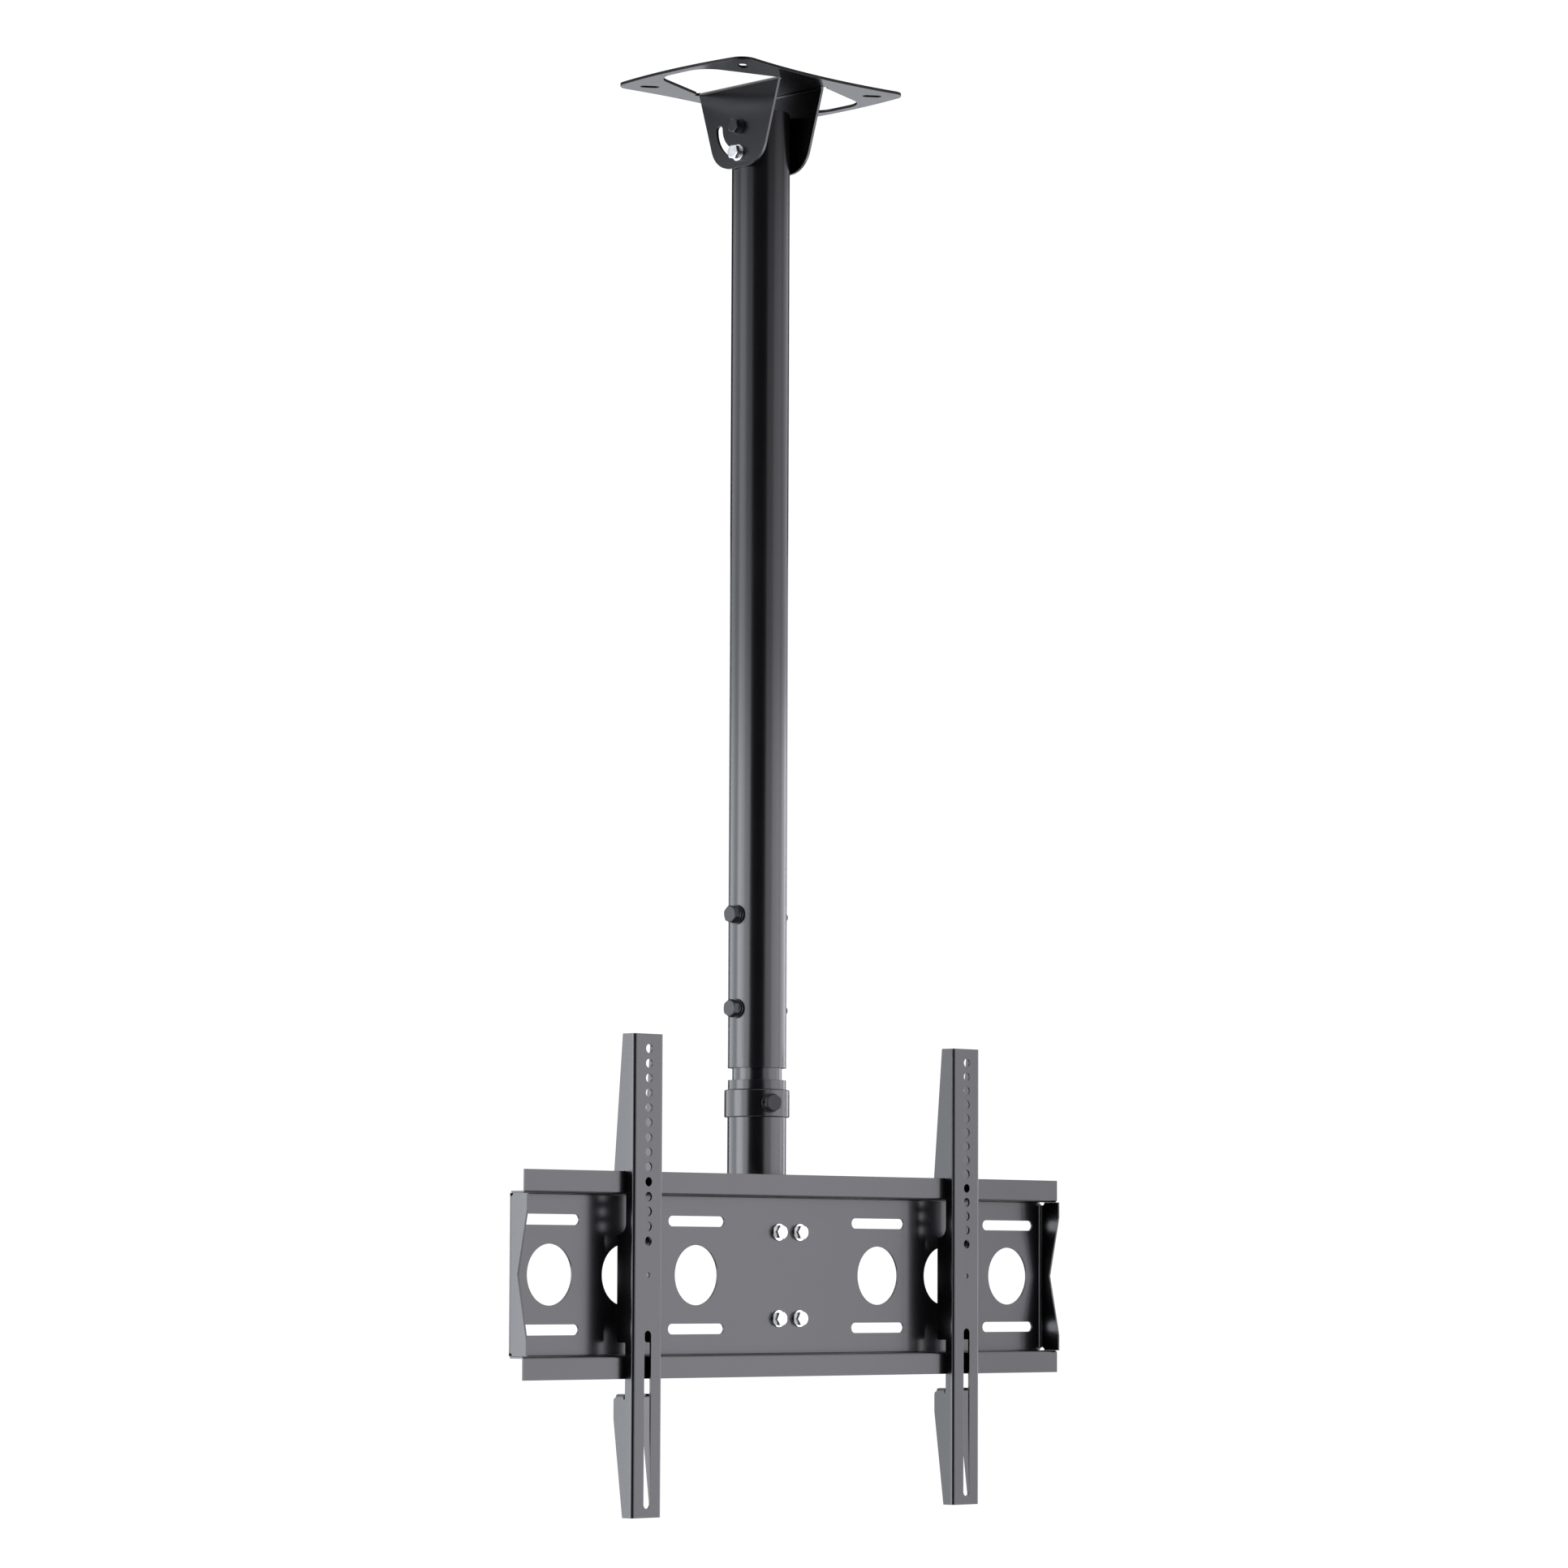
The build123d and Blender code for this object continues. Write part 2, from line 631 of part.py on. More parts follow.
for name, place in (("left_rail", -rail_place), ("right_rail", rail_place)):
    with BuildPart() as rail:
        with BuildSketch(Plane.XY.offset(head_z)):
            with BuildLine():
                FilletPolyline(
                    (place - rail_w / 2 + rail_t / 2, rail_back),
                    (place - rail_w / 2 + rail_t / 2, rail_front + rail_t / 2),
                    (place + rail_w / 2 - rail_t / 2, rail_front + rail_t / 2),
                    (place + rail_w / 2 - rail_t / 2, rail_back),
                    radius=rail_bend + rail_t / 2,
                )
            trace(line_width=rail_t)
        extrude(amount=rail_half, both=True)
        with BuildSketch(Plane.YZ.offset(place)) as rail_side:
            with BuildLine():
                Polyline(*[(y, head_z + z) for y, z in rail_side_points], close=True)
            make_face()
            inner_corner = rail_side.vertices().sort_by_distance((notch_y, head_z + notch_top))[0]
            fillet(inner_corner, notch_round)
            corners = rail_side.vertices()
            rounded = [corners.sort_by_distance((y, head_z + z))[0] for y, z in rail_outer_corners]
            fillet(rounded, rail_corner_r)
            with Locations((notch_y + tab_relief_w / 2, head_z + low_edge)):
                SlotOverall(2 * tab_relief_depth, tab_relief_w, rotation=90, mode=Mode.SUBTRACT)
        extrude(amount=rail_w, both=True, mode=Mode.INTERSECT)
        with BuildSketch(Plane.XZ.offset(-tab_back_y)):
            for side in (-1, 1):
                flange_x = place + side * (rail_w - rail_t) / 2
                tab_mid_z = head_z + low_notch_bottom - rail_t / 2
                with BuildLine():
                    FilletPolyline(
                        (flange_x, head_z + low_edge - rail_t),
                        (flange_x, tab_mid_z),
                        (flange_x - side * (tab_reach - rail_t / 2), tab_mid_z),
                        radius=rail_bend + rail_t / 2,
                    )
                trace(line_width=rail_t)
        extrude(amount=tab_back_y - tab_front_y)
        with BuildSketch(Plane.XZ.offset(-rail_front - rail_t)):
            with Locations(*[(place, level) for level in rail_hole_levels]):
                Circle(rail_hole_r)
            with Locations((place, head_z)):
                Circle(rail_pilot_r)
            with Locations((place, head_z - rail_slot_top - rail_slot_len / 2)):
                SlotOverall(rail_slot_len, 2 * rail_hole_r, rotation=90)
        extrude(amount=rail_t, mode=Mode.SUBTRACT)
    save(rail, name)
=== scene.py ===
import json
from math import cos, pi, radians, sin, sqrt

import bpy
from mathutils import Matrix, Vector


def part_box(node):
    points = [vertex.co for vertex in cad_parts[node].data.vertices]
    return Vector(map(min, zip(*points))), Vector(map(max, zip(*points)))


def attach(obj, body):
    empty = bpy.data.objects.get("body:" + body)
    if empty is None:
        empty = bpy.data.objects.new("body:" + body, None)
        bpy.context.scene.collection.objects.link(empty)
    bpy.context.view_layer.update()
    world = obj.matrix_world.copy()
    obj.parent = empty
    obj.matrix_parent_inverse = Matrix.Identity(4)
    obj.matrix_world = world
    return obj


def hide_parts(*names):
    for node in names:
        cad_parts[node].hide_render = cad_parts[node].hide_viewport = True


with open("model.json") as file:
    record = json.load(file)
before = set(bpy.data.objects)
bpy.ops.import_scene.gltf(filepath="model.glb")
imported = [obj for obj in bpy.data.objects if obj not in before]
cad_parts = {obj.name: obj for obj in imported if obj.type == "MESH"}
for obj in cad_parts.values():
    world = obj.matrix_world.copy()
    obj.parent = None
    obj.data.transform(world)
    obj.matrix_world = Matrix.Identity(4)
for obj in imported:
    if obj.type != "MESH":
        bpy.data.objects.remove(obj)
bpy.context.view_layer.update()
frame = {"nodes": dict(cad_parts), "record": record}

# Units and the mount's own sizes, in millimetres where no other unit is named
MM = 0.001
M8 = {"flats": 13.0, "head": 5.3, "nut": 6.5, "shank": 8.0, "pitch": 1.25, "washer": 8.5, "washer_t": 1.6,
      "spring": 7.2, "spring_t": 2.0}
M10 = {"flats": 16.0, "head": 6.4, "nut": 8.0, "shank": 10.0, "pitch": 1.5, "washer": 10.0, "washer_t": 2.0,
       "spring": 8.8, "spring_t": 2.4}
WASHER_PLAY = 0.2
SPRING_PLAY_SHARE = 0.14
SPRING_TURN = 0.965
SPRING_GAP_TURNED = 150.0

# Shapes that every bolt, nut and washer shares
HEX_FACE_SHARE = 0.94
CORE_SHARE = 0.43
THREAD_SHARE = 0.45
WASHER_CORNER_SHARE = 0.12
ROUND_SIDES = 40
CONE_SIDES = 48
COIL_STEPS = 24
RING_STEPS = 64
SHARP_ANGLE = radians(20)

LEFT = Vector((-1, 0, 0))
RIGHT = Vector((1, 0, 0))
FRONT = Vector((0, -1, 0))
BACK = Vector((0, 1, 0))


def linear(hex_colour):
    """An sRGB hex colour as linear RGBA."""
    parts = [int(hex_colour[i:i + 2], 16) / 255 for i in (1, 3, 5)]
    return (*[p / 12.92 if p <= 0.04045 else ((p + 0.055) / 1.055) ** 2.4 for p in parts], 1.0)


def put(tree, kind, inputs=None, **settings):
    """Adds a node with its settings, and sets or links its inputs."""
    made = tree.nodes.new(kind)
    for name, value in settings.items():
        setattr(made, name, value)
    for key, value in (inputs or {}).items():
        if isinstance(value, bpy.types.NodeSocket):
            tree.links.new(value, made.inputs[key])
        else:
            made.inputs[key].default_value = value
    return made


def new_material(name):
    """An empty material and its node tree."""
    material = bpy.data.materials.new(name)
    material.use_nodes = True
    material.node_tree.nodes.clear()
    return material, material.node_tree


# Materials
def satin_black_powder_coat():
    """Polyester powder, sprayed and baked on folded sheet and pipe.

    It is nearly black with a satin gloss. The powder flows out to a fine orange peel, its gloss wanders a
    little from patch to patch, and it rounds every sheet edge, so an edge catches a thin line of light. The
    real peel is about 1 mm, too fine to show, so it is drawn at 1.4 mm.
    """
    material, tree = new_material("satin_black_powder_coat")
    peel_mm = 1.4
    patch_mm = 60.0
    edge_round_mm = 0.5
    place = put(tree, "ShaderNodeTexCoord").outputs["Object"]
    peel = put(tree, "ShaderNodeTexNoise", {"Vector": place, "Scale": 1 / (peel_mm * MM), "Detail": 2.0})
    patch = put(tree, "ShaderNodeTexNoise", {"Vector": place, "Scale": 1 / (patch_mm * MM), "Detail": 3.0})
    colour = put(tree, "ShaderNodeMix", {"Factor": patch.outputs["Fac"], 6: linear("#050506"),
                                         7: linear("#060608")}, data_type="RGBA")
    gloss = put(tree, "ShaderNodeMapRange", {"Value": patch.outputs["Fac"], "To Min": 0.2, "To Max": 0.25})
    edge = put(tree, "ShaderNodeBevel", {"Radius": edge_round_mm * MM}, samples=4)
    bump = put(tree, "ShaderNodeBump", {"Height": peel.outputs["Fac"], "Strength": 0.06,
                                        "Distance": 0.05 * MM, "Normal": edge.outputs[0]})
    shader = put(tree, "ShaderNodeBsdfPrincipled", {"Base Color": colour.outputs[2],
                                                    "Roughness": gloss.outputs[0], "IOR": 1.5,
                                                    "Normal": bump.outputs[0]})
    put(tree, "ShaderNodeOutputMaterial", {"Surface": shader.outputs[0]})
    return material


def bright_zinc_plate():
    """Bright zinc, plated in a barrel, on the light bolts: silvery, faintly clouded where they rubbed."""
    material, tree = new_material("bright_zinc_plate")
    cloud_mm = 4.0
    place = put(tree, "ShaderNodeTexCoord").outputs["Object"]
    cloud = put(tree, "ShaderNodeTexNoise", {"Vector": place, "Scale": 1 / (cloud_mm * MM), "Detail": 3.0})
    colour = put(tree, "ShaderNodeMix", {"Factor": cloud.outputs["Fac"], 6: linear("#c8cacc"),
                                         7: linear("#e9eaec")}, data_type="RGBA")
    gloss = put(tree, "ShaderNodeMapRange", {"Value": cloud.outputs["Fac"], "To Min": 0.16, "To Max": 0.3})
    shader = put(tree, "ShaderNodeBsdfPrincipled", {"Base Color": colour.outputs[2],
                                                    "Roughness": gloss.outputs[0], "Metallic": 1.0})
    put(tree, "ShaderNodeOutputMaterial", {"Surface": shader.outputs[0]})
    return material


def black_zinc_plate():
    """Zinc plate, blackened in a dip, on the dark bolts: a thin dark skin with a dull metal shine."""
    material, tree = new_material("black_zinc_plate")
    cloud_mm = 3.0
    place = put(tree, "ShaderNodeTexCoord").outputs["Object"]
    cloud = put(tree, "ShaderNodeTexNoise", {"Vector": place, "Scale": 1 / (cloud_mm * MM), "Detail": 4.0})
    colour = put(tree, "ShaderNodeMix", {"Factor": cloud.outputs["Fac"], 6: linear("#141416"),
                                         7: linear("#26262a")}, data_type="RGBA")
    gloss = put(tree, "ShaderNodeMapRange", {"Value": cloud.outputs["Fac"], "To Min": 0.25, "To Max": 0.42})
    shader = put(tree, "ShaderNodeBsdfPrincipled", {"Base Color": colour.outputs[2],
                                                    "Roughness": gloss.outputs[0], "Metallic": 0.5})
    put(tree, "ShaderNodeOutputMaterial", {"Surface": shader.outputs[0]})
    return material


def turned_bare_steel():
    """Mild steel, turned and left bare, on the sleeves and the retainer: grey, with rings left by the tool.

    The real rings are about 0.2 mm apart, too fine to show, so they are drawn 2 mm apart.
    """
    material, tree = new_material("turned_bare_steel")
    ring_mm = 2.0
    place = put(tree, "ShaderNodeTexCoord").outputs["Object"]
    rings = put(tree, "ShaderNodeTexWave", {"Vector": place, "Scale": 1 / (ring_mm * MM), "Distortion": 0.4},
                bands_direction="X")
    bump = put(tree, "ShaderNodeBump", {"Height": rings.outputs["Fac"], "Strength": 0.2,
                                        "Distance": 0.02 * MM})
    shader = put(tree, "ShaderNodeBsdfPrincipled", {"Base Color": linear("#a2a3a5"), "Roughness": 0.35,
                                                    "Metallic": 1.0, "Normal": bump.outputs[0]})
    put(tree, "ShaderNodeOutputMaterial", {"Surface": shader.outputs[0]})
    return material


def moulded_black_nylon():
    """Black nylon, moulded in a spark-eroded tool, on the guide bushes: matt and faintly grained."""
    material, tree = new_material("moulded_black_nylon")
    grain_mm = 0.8
    place = put(tree, "ShaderNodeTexCoord").outputs["Object"]
    grain = put(tree, "ShaderNodeTexNoise", {"Vector": place, "Scale": 1 / (grain_mm * MM), "Detail": 2.0})
    bump = put(tree, "ShaderNodeBump", {"Height": grain.outputs["Fac"], "Strength": 0.3,
                                        "Distance": 0.05 * MM})
    shader = put(tree, "ShaderNodeBsdfPrincipled", {"Base Color": linear("#1b1b1c"), "Roughness": 0.6,
                                                    "IOR": 1.53, "Normal": bump.outputs[0]})
    put(tree, "ShaderNodeOutputMaterial", {"Surface": shader.outputs[0]})
    return material


def matt_pale_paint():
    """Emulsion paint, rolled on the studio floor: pale and without any gloss."""
    material, tree = new_material("matt_pale_paint")
    shader = put(tree, "ShaderNodeBsdfPrincipled", {"Base Color": linear("#fafafa"), "Roughness": 0.8})
    put(tree, "ShaderNodeOutputMaterial", {"Surface": shader.outputs[0]})
    return material


finishes = {
    "black_powder_coat": satin_black_powder_coat(),
    "zinc_plated_steel": bright_zinc_plate(),
    "black_plated_steel": black_zinc_plate(),
    "bare_steel": turned_bare_steel(),
    "nylon": moulded_black_nylon(),
}
slot_of = {part["node"]: part["material_slot"] for part in frame["record"]["subparts"]}
body_of = {node: body for body, nodes in frame["record"]["behaviour"]["bodies"].items() for node in nodes}
for name, piece in frame["nodes"].items():
    for held in piece.material_slots:
        held.material = finishes[slot_of[name]]


# Fasteners, made by Geometry Nodes on points that sit on the faces that they bear on
def new_tree(name, inputs):
    """A Geometry Nodes tree that takes points, named sizes and a material, with its two end nodes."""
    tree = bpy.data.node_groups.new(name, "GeometryNodeTree")
    tree.interface.new_socket("Geometry", in_out="INPUT", socket_type="NodeSocketGeometry")
    tree.interface.new_socket("Geometry", in_out="OUTPUT", socket_type="NodeSocketGeometry")
    for label in inputs:
        tree.interface.new_socket(label, in_out="INPUT", socket_type="NodeSocketFloat")
    tree.interface.new_socket("Finish", in_out="INPUT", socket_type="NodeSocketMaterial")
    return tree, put(tree, "NodeGroupInput").outputs, put(tree, "NodeGroupOutput")


def end_tree(tree, start, end, shape):
    """Stands the shape on every point, looking along the point's own direction."""
    outward = put(tree, "GeometryNodeInputNamedAttribute", {"Name": "outward"}, data_type="FLOAT_VECTOR")
    spin = put(tree, "GeometryNodeInputNamedAttribute", {"Name": "spin"}, data_type="FLOAT")
    aim = put(tree, "FunctionNodeAlignRotationToVector", {"Vector": outward.outputs[0]}, axis="Z")
    turn = put(tree, "FunctionNodeAxisAngleToRotation", {"Axis": (0, 0, 1), "Angle": spin.outputs[0]})
    both = put(tree, "FunctionNodeRotateRotation", {0: aim.outputs[0], 1: turn.outputs[0]},
               rotation_space="LOCAL")
    stood = put(tree, "GeometryNodeInstanceOnPoints", {"Points": start["Geometry"], "Instance": shape,
                                                       "Rotation": both.outputs[0]})
    real = put(tree, "GeometryNodeRealizeInstances", {"Geometry": stood.outputs[0]})
    done = put(tree, "GeometryNodeSetMaterial", {"Geometry": real.outputs[0], "Material": start["Finish"]})
    tree.links.new(done.outputs[0], end.inputs["Geometry"])


def hexagon(tree, flats, height, ends_turned):
    """A hex prism from Z 0 up, its corners turned down at the top, and at the bottom too on a nut.

    A turned end is cut by a cone that falls 30 degrees, so by one for every sqrt(3) outwards, from a round
    face a little narrower than the flats. The corners' radius is the width across the flats over sqrt(3).
    """
    corner_r = put(tree, "ShaderNodeMath", {0: flats, 1: sqrt(3)}, operation="DIVIDE")
    middle = put(tree, "ShaderNodeMath", {0: height, 1: 2.0}, operation="DIVIDE")
    prism = put(tree, "GeometryNodeMeshCylinder", {"Vertices": 6, "Radius": corner_r.outputs[0],
                                                   "Depth": height})
    lift = put(tree, "ShaderNodeCombineXYZ", {"Z": middle.outputs[0]})
    stood = put(tree, "GeometryNodeTransform", {"Geometry": prism.outputs["Mesh"],
                                                "Translation": lift.outputs[0]})
    face_r = put(tree, "ShaderNodeMath", {0: flats, 1: HEX_FACE_SHARE / 2}, operation="MULTIPLY")
    spread = put(tree, "ShaderNodeMath", {0: height, 1: sqrt(3)}, operation="MULTIPLY")
    foot_r = put(tree, "ShaderNodeMath", {0: face_r.outputs[0], 1: spread.outputs[0]}, operation="ADD")
    shape = stood.outputs[0]
    for top_r, bottom_r in ((face_r, foot_r), (foot_r, face_r))[:ends_turned]:
        cone = put(tree, "GeometryNodeMeshCone", {"Vertices": CONE_SIDES, "Radius Top": top_r.outputs[0],
                                                  "Radius Bottom": bottom_r.outputs[0], "Depth": height})
        cut = put(tree, "GeometryNodeMeshBoolean", operation="INTERSECT", solver="EXACT")
        tree.links.new(shape, cut.inputs["Mesh 2"])
        tree.links.new(cone.outputs["Mesh"], cut.inputs["Mesh 2"])
        shape = cut.outputs["Mesh"]
    return shape


def thread(tree, start):
    """A helical ridge wound round a bolt's core, over its threaded length and up to its tip."""
    run = put(tree, "ShaderNodeMath", {0: start["Threaded"], 1: start["Pitch"]}, operation="SUBTRACT")
    turns = put(tree, "ShaderNodeMath", {0: run.outputs[0], 1: start["Pitch"]}, operation="DIVIDE")
    radius = put(tree, "ShaderNodeMath", {0: start["Shank"], 1: THREAD_SHARE}, operation="MULTIPLY")
    coil = put(tree, "GeometryNodeCurveSpiral", {"Resolution": COIL_STEPS, "Rotations": turns.outputs[0],
                                                 "Start Radius": radius.outputs[0],
                                                 "End Radius": radius.outputs[0], "Height": run.outputs[0]})
    ridge_r = put(tree, "ShaderNodeMath", {0: start["Pitch"], 1: 0.5}, operation="MULTIPLY")
    ridge = put(tree, "GeometryNodeCurvePrimitiveCircle", {"Resolution": 4, "Radius": ridge_r.outputs[0]})
    wound = put(tree, "GeometryNodeCurveToMesh", {"Curve": coil.outputs[0],
                                                  "Profile Curve": ridge.outputs[0], "Fill Caps": True})
    tip = put(tree, "ShaderNodeMath", {0: start["Pitch"], 1: start["Length"]}, operation="SUBTRACT")
    drop = put(tree, "ShaderNodeCombineXYZ", {"Z": tip.outputs[0]})
    hung = put(tree, "GeometryNodeTransform", {"Geometry": wound.outputs[0], "Translation": drop.outputs[0]})
    return hung.outputs[0]


def bolt_tree():
    """Hex bolts whose heads stand on the points and whose shanks run back into the work."""
    tree, start, end = new_tree("hex_bolts", ("Flats", "Head", "Shank", "Length", "Threaded", "Pitch"))
    head = hexagon(tree, start["Flats"], start["Head"], ends_turned=1)
    plain_len = put(tree, "ShaderNodeMath", {0: start["Length"], 1: start["Threaded"]}, operation="SUBTRACT")
    joined = put(tree, "GeometryNodeJoinGeometry")
    tree.links.new(head, joined.inputs[0])
    tree.links.new(thread(tree, start), joined.inputs[0])
    for share, length in ((0.5, plain_len.outputs[0]), (CORE_SHARE, start["Length"])):
        radius = put(tree, "ShaderNodeMath", {0: start["Shank"], 1: share}, operation="MULTIPLY")
        rod = put(tree, "GeometryNodeMeshCylinder", {"Vertices": ROUND_SIDES, "Radius": radius.outputs[0],
                                                     "Depth": length})
        middle = put(tree, "ShaderNodeMath", {0: length, 1: -2.0}, operation="DIVIDE")
        drop = put(tree, "ShaderNodeCombineXYZ", {"Z": middle.outputs[0]})
        hung = put(tree, "GeometryNodeTransform", {"Geometry": rod.outputs["Mesh"],
                                                   "Translation": drop.outputs[0]})
        tree.links.new(hung.outputs[0], joined.inputs[0])
    end_tree(tree, start, end, joined.outputs[0])
    return tree


def nut_tree():
    """Hex nuts that stand on the points, bored through."""
    tree, start, end = new_tree("hex_nuts", ("Flats", "Height", "Shank"))
    shape = hexagon(tree, start["Flats"], start["Height"], ends_turned=2)
    bore_r = put(tree, "ShaderNodeMath", {0: start["Shank"], 1: 2.0}, operation="DIVIDE")
    bore_len = put(tree, "ShaderNodeMath", {0: start["Height"], 1: 3.0}, operation="MULTIPLY")
    bore = put(tree, "GeometryNodeMeshCylinder", {"Vertices": ROUND_SIDES, "Radius": bore_r.outputs[0],
                                                  "Depth": bore_len.outputs[0]})
    cut = put(tree, "GeometryNodeMeshBoolean", {"Mesh 1": shape}, operation="DIFFERENCE", solver="EXACT")
    tree.links.new(bore.outputs["Mesh"], cut.inputs["Mesh 2"])
    end_tree(tree, start, end, cut.outputs["Mesh"])
    return tree


def ring_tree():
    """Flat washers, or split spring washers where the turn is short of a whole one and climbs."""
    tree, start, end = new_tree("washers", ("Inner", "Outer", "Thickness", "Turn", "Climb"))
    width = put(tree, "ShaderNodeMath", {0: start["Outer"], 1: start["Inner"]}, operation="SUBTRACT")
    both = put(tree, "ShaderNodeMath", {0: start["Outer"], 1: start["Inner"]}, operation="ADD")
    middle = put(tree, "ShaderNodeMath", {0: both.outputs[0], 1: 2.0}, operation="DIVIDE")
    path = put(tree, "GeometryNodeCurveSpiral", {"Resolution": RING_STEPS, "Rotations": start["Turn"],
                                                 "Start Radius": middle.outputs[0],
                                                 "End Radius": middle.outputs[0], "Height": start["Climb"]})
    section = put(tree, "GeometryNodeCurvePrimitiveQuadrilateral", {"Width": width.outputs[0],
                                                                    "Height": start["Thickness"]})
    corner_r = put(tree, "ShaderNodeMath", {0: start["Thickness"], 1: WASHER_CORNER_SHARE},
                   operation="MULTIPLY")
    soft = put(tree, "GeometryNodeFilletCurve", {"Curve": section.outputs[0], "Radius": corner_r.outputs[0]})
    swept = put(tree, "GeometryNodeCurveToMesh", {"Curve": path.outputs[0],
                                                  "Profile Curve": soft.outputs[0], "Fill Caps": True})
    room = put(tree, "ShaderNodeMath", {0: start["Thickness"], 1: start["Climb"]}, operation="SUBTRACT")
    half = put(tree, "ShaderNodeMath", {0: room.outputs[0], 1: 2.0}, operation="DIVIDE")
    lift = put(tree, "ShaderNodeCombineXYZ", {"Z": half.outputs[0]})
    laid = put(tree, "GeometryNodeTransform", {"Geometry": swept.outputs[0], "Translation": lift.outputs[0]})
    end_tree(tree, start, end, laid.outputs[0])
    return tree


BOLTS = bolt_tree()
NUTS = nut_tree()
RINGS = ring_tree()


def fastener(node, tree, seats, spins, **sizes):
    """A plain mesh of the tree's fasteners on the seats, in place of a CAD node and on its body."""
    mesh = bpy.data.meshes.new(node)
    mesh.from_pydata([seat for seat, outward in seats], [], [])
    mesh.attributes.new("outward", "FLOAT_VECTOR", "POINT")
    mesh.attributes.new("spin", "FLOAT", "POINT")
    for i, (seat, outward) in enumerate(seats):
        mesh.attributes["outward"].data[i].vector = outward
        mesh.attributes["spin"].data[i].value = radians(spins[i % len(spins)])
    maker = bpy.data.objects.new(node + "_points", mesh)
    bpy.context.scene.collection.objects.link(maker)
    built = maker.modifiers.new("fasteners", "NODES")
    built.node_group = tree
    sockets = {s.name: s.identifier for s in tree.interface.items_tree if s.in_out == "INPUT"}
    for label, size in sizes.items():
        built[sockets[label]] = size if label == "Turn" else size * MM
    built[sockets["Finish"]] = finishes[slot_of[node]]
    graph = bpy.context.evaluated_depsgraph_get()
    made = bpy.data.meshes.new_from_object(maker.evaluated_get(graph), depsgraph=graph)
    bpy.data.objects.remove(maker)
    made.name = node + "_detail"
    while made.materials[0] is None:
        made.materials.pop(index=0)
    made.shade_smooth()
    made.set_sharp_from_angle(angle=SHARP_ANGLE)
    piece = bpy.data.objects.new(node + "_detail", made)
    bpy.context.scene.collection.objects.link(piece)
    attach(piece, body_of[node])
    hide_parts(node)


def seats_on(node, outward, size):
    """Where a CAD node's washers, seen along one direction, bear on the work, and which way they look.

    Places are rounded to a tenth of a millimetre, so that a column of washers isn't taken for two.
    """
    low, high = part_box(node)
    reach = size["washer"] * MM
    across = [axis for axis in range(3) if not outward[axis]]
    along = next(axis for axis in range(3) if outward[axis])
    face = high[along] - size["washer_t"] * MM if outward[along] > 0 else low[along] + size["washer_t"] * MM
    found = []
    for first in sorted({round(low[across[0]] + reach, 4), round(high[across[0]] - reach, 4)}):
        for second in sorted({round(low[across[1]] + reach, 4), round(high[across[1]] - reach, 4)}):
            place = Vector((0, 0, 0))
            place[along] = face
            place[across[0]] = first
            place[across[1]] = second
            found.append((place, outward))
    return found


def raised(seats, height):
    """The seats, moved outwards."""
    return [(place + outward * height * MM, outward) for place, outward in seats]


def flat_washers(node, seats, size):
    """Flat washers on the seats."""
    fastener(node, RINGS, seats, [0.0], Inner=size["shank"] / 2 + WASHER_PLAY, Outer=size["washer"],
             Thickness=size["washer_t"], Turn=1.0, Climb=0.0)


def bolts_on(name, seats, size, spring, shank, threaded, spins):
    """Bolts on the flat washers of one set of seats, over spring washers where there are any."""
    stack = size["washer_t"]
    if spring:
        climb = size["spring_t"] * SPRING_PLAY_SHARE
        fastener(spring, RINGS, raised(seats, stack), [SPRING_GAP_TURNED],
                 Inner=size["shank"] / 2 + WASHER_PLAY, Outer=size["spring"],
                 Thickness=size["spring_t"] - climb, Turn=SPRING_TURN, Climb=climb)
        stack += size["spring_t"]
    fastener(name, BOLTS, raised(seats, stack), spins, Flats=size["flats"], Head=size["head"],
             Shank=size["shank"], Length=stack + shank, Threaded=threaded, Pitch=size["pitch"])


def cross_bolt(name, head_spin):
    """The bolt, washers and nut of one cross bolt through two ears and a pipe."""
    washers = name + "_washers"
    left = seats_on(washers, LEFT, M8)
    right = seats_on(washers, RIGHT, M8)
    flat_washers(washers, left + right, M8)
    shank = (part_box(name + "_bolt")[1].x - left[0][0].x) / MM
    bolts_on(name + "_bolt", left, M8, name + "_spring_washer", shank, threaded=28.0, spins=[head_spin])
    fastener(name + "_nut", NUTS, raised(right, M8["washer_t"]), [15.0], Flats=M8["flats"], Height=M8["nut"],
             Shank=M8["shank"])


HEAD_SPINS = {"ceiling_pivot": 10.0, "ceiling_lock": 20.0, "head_pivot": 0.0, "head_lock": 25.0}
for name, head_spin in HEAD_SPINS.items():
    cross_bolt(name, head_spin)

height_seats = seats_on("height_washers", LEFT, M10)
height_shank = (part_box("height_bolts")[1].x - height_seats[0][0].x) / MM
flat_washers("height_washers", height_seats, M10)
bolts_on("height_bolts", height_seats, M10, "height_spring_washers", height_shank, threaded=60.0,
         spins=[0.0, 12.0])

collar_washer = (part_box("swivel_lock_washer")[0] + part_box("swivel_lock_washer")[1]) / 2
swivel_out = Vector((collar_washer.x, collar_washer.y, 0)).normalized()
swivel_seats = [(collar_washer - swivel_out * M10["washer_t"] / 2 * MM, swivel_out)]
flat_washers("swivel_lock_washer", swivel_seats, M10)
bolts_on("swivel_lock_bolt", swivel_seats, M10, "swivel_lock_spring_washer", shank=11.0, threaded=14.0,
         spins=[5.0])

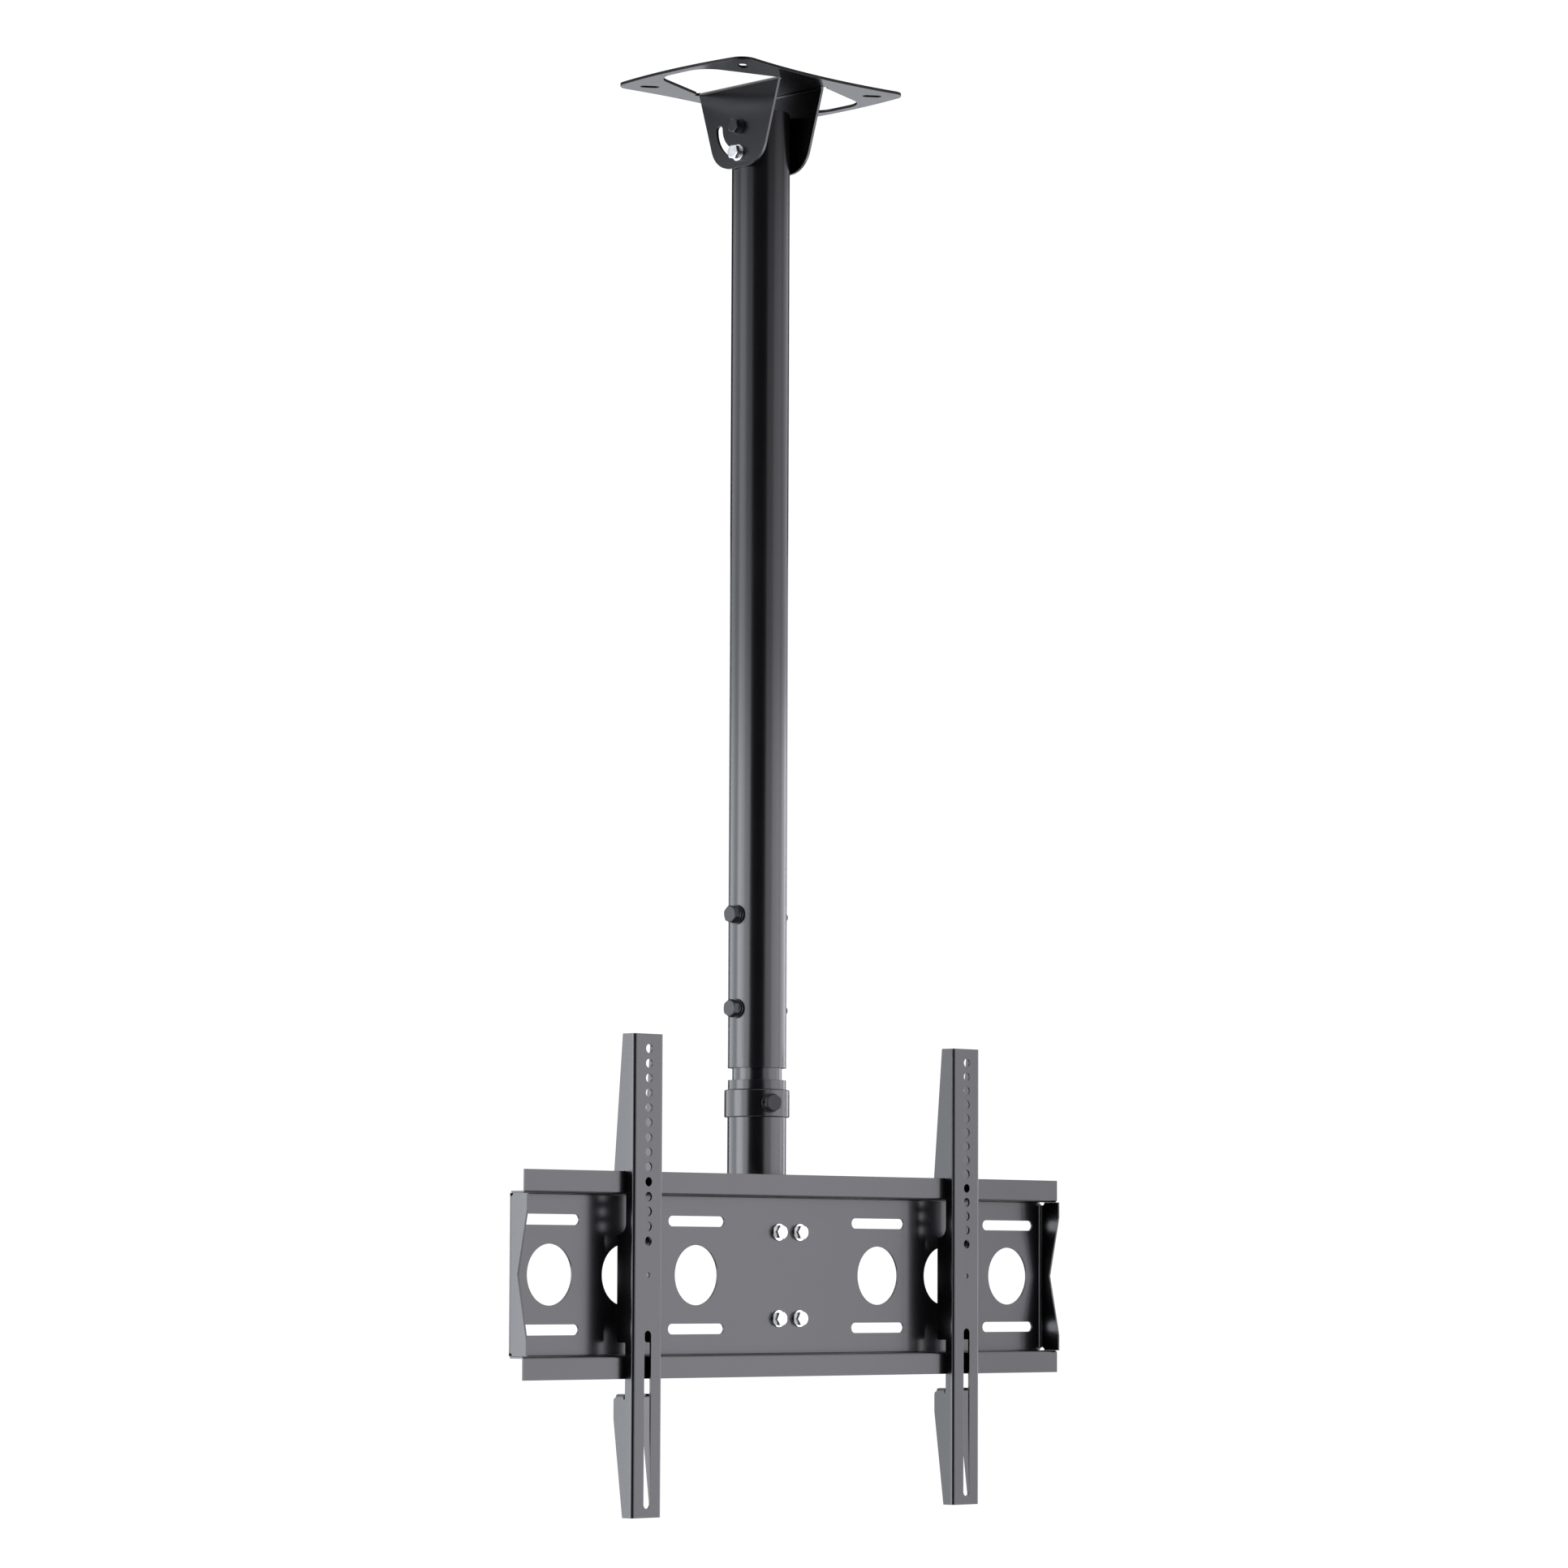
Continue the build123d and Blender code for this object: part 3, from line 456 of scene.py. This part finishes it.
plate_seats = seats_on("plate_washers", FRONT, M8)
plate_shank = (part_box("plate_bolts")[1].y - plate_seats[0][0].y) / MM
flat_washers("plate_washers", plate_seats, M8)
bolts_on("plate_bolts", plate_seats, M8, None, plate_shank, threaded=10.0, spins=[4.0, -6.0, 2.0, -3.0])
nut_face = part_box("plate_nuts")[0].y
nut_seats = [(Vector((place.x, nut_face, place.z)), BACK) for place, outward in plate_seats]
fastener("plate_nuts", NUTS, nut_seats, [5.0, 25.0], Flats=M8["flats"], Height=M8["nut"],
         Shank=M8["shank"])


# Camera, where the photograph was taken from
CAMERA_PLACE = (-3.8152, -3.7944, -1.2233)
HEADING = radians(45.442)
PITCH = radians(4.447)
ROLL = radians(0.228)
camera_data = bpy.data.cameras.new("camera")
camera_data.lens = 120.84
camera_data.sensor_width = 36.0
camera_data.shift_y = 0.05
camera_data.clip_end = 100.0
camera = bpy.data.objects.new("camera", camera_data)
bpy.context.scene.collection.objects.link(camera)
camera.matrix_world = Matrix.Translation(CAMERA_PLACE) @ Matrix.Rotation(-HEADING, 4, "Z") \
    @ Matrix.Rotation(pi / 2 + PITCH, 4, "X") @ Matrix.Rotation(ROLL, 4, "Z")
bpy.context.scene.camera = camera

# Studio: soft boxes in a ring round the mount, open towards the camera, a pale floor and a white surround
BOX_DISTANCE = 2.4
LOWER_LEVEL = -1.22
LOWER_HEIGHT = 1.65
UPPER_LEVEL = 0.02
UPPER_HEIGHT = 0.85
COOL_WHITE = linear("#f4f7ff")
VIOLET_WHITE = linear("#f7f5ff")
to_camera = Vector((camera.location.x, camera.location.y, 0)).normalized()
to_right = Vector((-to_camera.y, to_camera.x, 0))


def soft_box(name, tint, bearing, level, width, height, radiance):
    """A rectangular light that faces the mount's middle line.

    Its bearing is counted in degrees from the camera's, positive towards the camera's right.
    """
    turn = radians(bearing)
    direction = to_camera * cos(turn) + to_right * sin(turn)
    data = bpy.data.lights.new(name, "AREA")
    data.shape = "RECTANGLE"
    data.size = width
    data.size_y = height
    data.color = tint[:3]
    data.energy = radiance * pi * width * height
    lamp = bpy.data.objects.new(name, data)
    lamp.matrix_world = Matrix.Translation(Vector((0, 0, level)) + direction * BOX_DISTANCE) \
        @ direction.to_track_quat("Z", "Y").to_matrix().to_4x4()
    lamp.visible_camera = False
    bpy.context.scene.collection.objects.link(lamp)


for name, tint, bearing, width, radiance, upper_share in (
    ("left_front", COOL_WHITE, -43, 1.05, 4.8, 0.3),
    ("left", COOL_WHITE, -71, 1.3, 8.7, 0.4),
    ("back_left", COOL_WHITE, -112.5, 2.3, 3.4, 0.5),
    ("right_front", VIOLET_WHITE, 42, 1.1, 2.4, 0.4),
    ("right", VIOLET_WHITE, 76, 1.75, 4.4, 0.44),
    ("back_right", VIOLET_WHITE, 122, 2.1, 4.0, 0.4),
):
    soft_box(name + "_soft_box", tint, bearing, LOWER_LEVEL, width, LOWER_HEIGHT, radiance)
    soft_box(name + "_upper_soft_box", tint, bearing, UPPER_LEVEL, width, UPPER_HEIGHT,
             radiance * upper_share)
soft_box("back_soft_box", COOL_WHITE, 180, level=-0.55, width=2.4, height=0.8, radiance=1.1)

# The surround is white to the camera. It lights the mount from above and below, and is dim near the horizon,
# where the soft boxes stand, so that the pipe keeps its dark band.
DIM_SLOPE = sin(radians(18))
BRIGHT_SLOPE = sin(radians(35))
DIM_GLOW = 0.01
BRIGHT_GLOW = 1.3
SEEN_GLOW = 1.05
world = bpy.data.worlds.new("white_surround")
world.use_nodes = True
bpy.context.scene.world = world
sky = world.node_tree
sky.nodes.clear()
way = put(sky, "ShaderNodeTexCoord").outputs["Generated"]
rise = put(sky, "ShaderNodeSeparateXYZ", {"Vector": way}).outputs["Z"]
slope = put(sky, "ShaderNodeMath", {0: rise}, operation="ABSOLUTE")
glow = put(sky, "ShaderNodeMapRange", {"Value": slope.outputs[0], "From Min": DIM_SLOPE,
                                       "From Max": BRIGHT_SLOPE, "To Min": DIM_GLOW, "To Max": BRIGHT_GLOW})
seen = put(sky, "ShaderNodeBackground", {"Color": (1, 1, 1, 1), "Strength": SEEN_GLOW})
fill = put(sky, "ShaderNodeBackground", {"Color": (1, 1, 1, 1), "Strength": glow.outputs[0]})
chosen = put(sky, "ShaderNodeMixShader", {0: put(sky, "ShaderNodeLightPath").outputs["Is Camera Ray"],
                                          1: fill.outputs[0], 2: seen.outputs[0]})
put(sky, "ShaderNodeOutputWorld", {"Surface": chosen.outputs[0]})
bpy.context.scene.view_settings.view_transform = "Standard"

FLOOR_Z = -6.0
FLOOR_HALF = 12.0
floor_mesh = bpy.data.meshes.new("studio_floor")
corners = [(x * FLOOR_HALF, y * FLOOR_HALF, FLOOR_Z) for x, y in ((-1, -1), (1, -1), (1, 1), (-1, 1))]
floor_mesh.from_pydata(corners, [], [(0, 1, 2, 3)])
floor_mesh.materials.append(matt_pale_paint())
floor = bpy.data.objects.new("studio_floor", floor_mesh)
bpy.context.scene.collection.objects.link(floor)
